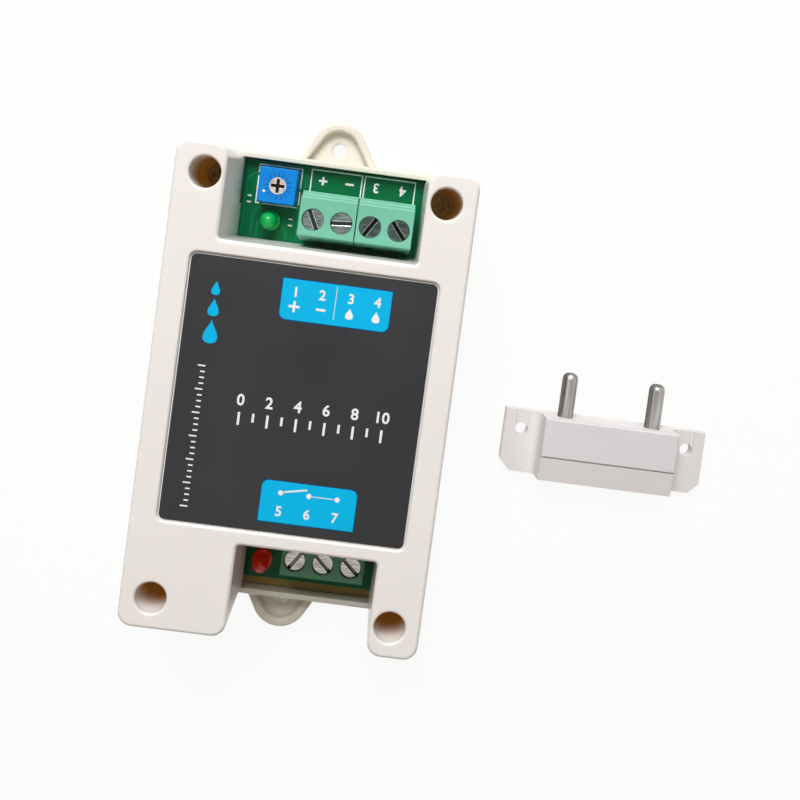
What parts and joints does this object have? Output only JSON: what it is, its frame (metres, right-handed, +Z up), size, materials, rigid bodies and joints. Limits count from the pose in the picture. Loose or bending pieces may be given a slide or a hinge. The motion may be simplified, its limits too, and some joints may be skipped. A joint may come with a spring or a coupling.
{
  "type": "water leak detector",
  "caption": "Flat white leak alarm case with open terminal bays, trimmer, lamps and fixing ears, with a separate flanged two-pin water probe beside it.",
  "frame": {"origin": "centre of the case's flat underside", "axes": "+Z up out of the label, +Y towards the bay with the two light green terminals, +X towards the probe"},
  "size_m": [0.1047, 0.0988, 0.028],
  "materials": {
    "abs_case": "moulded ABS, smooth",
    "label_film": "printed polyester film, satin",
    "zinc_steel": "zinc plated screw steel",
    "board_laminate": "glass epoxy with green solder mask",
    "terminal_light_green": "moulded polyamide",
    "terminal_dark_green": "moulded polyamide",
    "trimmer_blue": "moulded thermoset",
    "trimmer_rotor_pale": "moulded rotor",
    "tinned_copper": "tinned",
    "led_green_epoxy": "diffused epoxy",
    "led_red_epoxy": "diffused epoxy",
    "relay_case": "moulded relay case",
    "capacitor_sleeve": "shrink sleeve",
    "black_epoxy": "moulded epoxy",
    "resistor_film": "glazed film",
    "ceramic_tan": "fired ceramic",
    "probe_plastic": "moulded ABS, satin",
    "probe_lid_plastic": "moulded ABS, satin",
    "stainless_pin": "ground stainless steel",
    "clamp_screw_steel": "nickel plated steel",
    "plated_brass": "nickel plated brass"
  },
  "bodies": {
    "case": {"base_tray": "abs_case", "ceramic_capacitors": "ceramic_tan", "circuit_board": "board_laminate", "comparator_chip": "black_epoxy", "cover_screws": "zinc_steel", "diodes": "black_epoxy", "driver_transistor": "black_epoxy", "front_label": "label_film", "green_led": "led_green_epoxy", "led_leads": "tinned_copper", "power_terminal": "terminal_light_green", "power_terminal_contacts": "tinned_copper", "probe_housing": "probe_plastic", "probe_lid": "probe_lid_plastic", "probe_pin_left": "stainless_pin", "probe_pin_right": "stainless_pin", "red_led": "led_red_epoxy", "relay": "relay_case", "relay_pins": "tinned_copper", "relay_terminal": "terminal_dark_green", "relay_terminal_contacts": "tinned_copper", "resistors": "resistor_film", "sensor_terminal": "terminal_light_green", "sensor_terminal_contacts": "tinned_copper", "smoothing_capacitor": "capacitor_sleeve", "top_cover": "abs_case", "trimmer_body": "trimmer_blue", "trimmer_leads": "tinned_copper", "voltage_regulator": "black_epoxy"},
    "trimmer_rotor": {"trimmer_rotor": "trimmer_rotor_pale"},
    "power_clamp_screw_1": {"power_clamp_screw_1": "clamp_screw_steel"},
    "power_clamp_cage_1": {"power_clamp_cage_1": "plated_brass"},
    "power_clamp_screw_2": {"power_clamp_screw_2": "clamp_screw_steel"},
    "power_clamp_cage_2": {"power_clamp_cage_2": "plated_brass"},
    "sensor_clamp_screw_1": {"sensor_clamp_screw_1": "clamp_screw_steel"},
    "sensor_clamp_cage_1": {"sensor_clamp_cage_1": "plated_brass"},
    "sensor_clamp_screw_2": {"sensor_clamp_screw_2": "clamp_screw_steel"},
    "sensor_clamp_cage_2": {"sensor_clamp_cage_2": "plated_brass"},
    "relay_clamp_screw_1": {"relay_clamp_screw_1": "clamp_screw_steel"},
    "relay_clamp_cage_1": {"relay_clamp_cage_1": "plated_brass"},
    "relay_clamp_screw_2": {"relay_clamp_screw_2": "clamp_screw_steel"},
    "relay_clamp_cage_2": {"relay_clamp_cage_2": "plated_brass"},
    "relay_clamp_screw_3": {"relay_clamp_screw_3": "clamp_screw_steel"},
    "relay_clamp_cage_3": {"relay_clamp_cage_3": "plated_brass"}
  },
  "joints": [
    {"name": "trimmer_turn", "type": "hinge", "parent": "case", "child": "trimmer_rotor", "pos_m": [-0.01, 0.0358, 0.0117], "axis": [0, 0, 1], "range_deg": [-130, 130]},
    {"name": "power_screw_1_turn", "type": "hinge", "parent": "case", "child": "power_clamp_screw_1", "pos_m": [-0.00214, 0.0306, 0.019], "axis": [0, 0, -1], "range_deg": [0, 1800]},
    {"name": "power_cage_1_lift", "type": "slide", "parent": "case", "child": "power_clamp_cage_1", "axis": [0, 0, 1], "range_m": [0, 0.00225]},
    {"name": "power_screw_2_turn", "type": "hinge", "parent": "case", "child": "power_clamp_screw_2", "pos_m": [0.00294, 0.0306, 0.019], "axis": [0, 0, -1], "range_deg": [0, 1800]},
    {"name": "power_cage_2_lift", "type": "slide", "parent": "case", "child": "power_clamp_cage_2", "axis": [0, 0, 1], "range_m": [0, 0.00225]},
    {"name": "sensor_screw_1_turn", "type": "hinge", "parent": "case", "child": "sensor_clamp_screw_1", "pos_m": [0.00802, 0.0306, 0.019], "axis": [0, 0, -1], "range_deg": [0, 1800]},
    {"name": "sensor_cage_1_lift", "type": "slide", "parent": "case", "child": "sensor_clamp_cage_1", "axis": [0, 0, 1], "range_m": [0, 0.00225]},
    {"name": "sensor_screw_2_turn", "type": "hinge", "parent": "case", "child": "sensor_clamp_screw_2", "pos_m": [0.0131, 0.0306, 0.019], "axis": [0, 0, -1], "range_deg": [0, 1800]},
    {"name": "sensor_cage_2_lift", "type": "slide", "parent": "case", "child": "sensor_clamp_cage_2", "axis": [0, 0, 1], "range_m": [0, 0.00225]},
    {"name": "relay_screw_1_turn", "type": "hinge", "parent": "case", "child": "relay_clamp_screw_1", "pos_m": [0.00247, -0.03115, 0.0165], "axis": [0, 0, -1], "range_deg": [0, 1440]},
    {"name": "relay_cage_1_lift", "type": "slide", "parent": "case", "child": "relay_clamp_cage_1", "axis": [0, 0, 1], "range_m": [0, 0.0018]},
    {"name": "relay_screw_2_turn", "type": "hinge", "parent": "case", "child": "relay_clamp_screw_2", "pos_m": [0.00755, -0.03115, 0.0165], "axis": [0, 0, -1], "range_deg": [0, 1440]},
    {"name": "relay_cage_2_lift", "type": "slide", "parent": "case", "child": "relay_clamp_cage_2", "axis": [0, 0, 1], "range_m": [0, 0.0018]},
    {"name": "relay_screw_3_turn", "type": "hinge", "parent": "case", "child": "relay_clamp_screw_3", "pos_m": [0.01263, -0.03115, 0.0165], "axis": [0, 0, -1], "range_deg": [0, 1440]},
    {"name": "relay_cage_3_lift", "type": "slide", "parent": "case", "child": "relay_clamp_cage_3", "axis": [0, 0, 1], "range_m": [0, 0.0018]}
  ],
  "couplings": [
    {"joint": "power_screw_1_turn", "follows": "power_cage_1_lift", "rad_per_m": 13963},
    {"joint": "power_screw_2_turn", "follows": "power_cage_2_lift", "rad_per_m": 13963},
    {"joint": "sensor_screw_1_turn", "follows": "sensor_cage_1_lift", "rad_per_m": 13963},
    {"joint": "sensor_screw_2_turn", "follows": "sensor_cage_2_lift", "rad_per_m": 13963},
    {"joint": "relay_screw_1_turn", "follows": "relay_cage_1_lift", "rad_per_m": 13963},
    {"joint": "relay_screw_2_turn", "follows": "relay_cage_2_lift", "rad_per_m": 13963},
    {"joint": "relay_screw_3_turn", "follows": "relay_cage_3_lift", "rad_per_m": 13963}
  ]
}
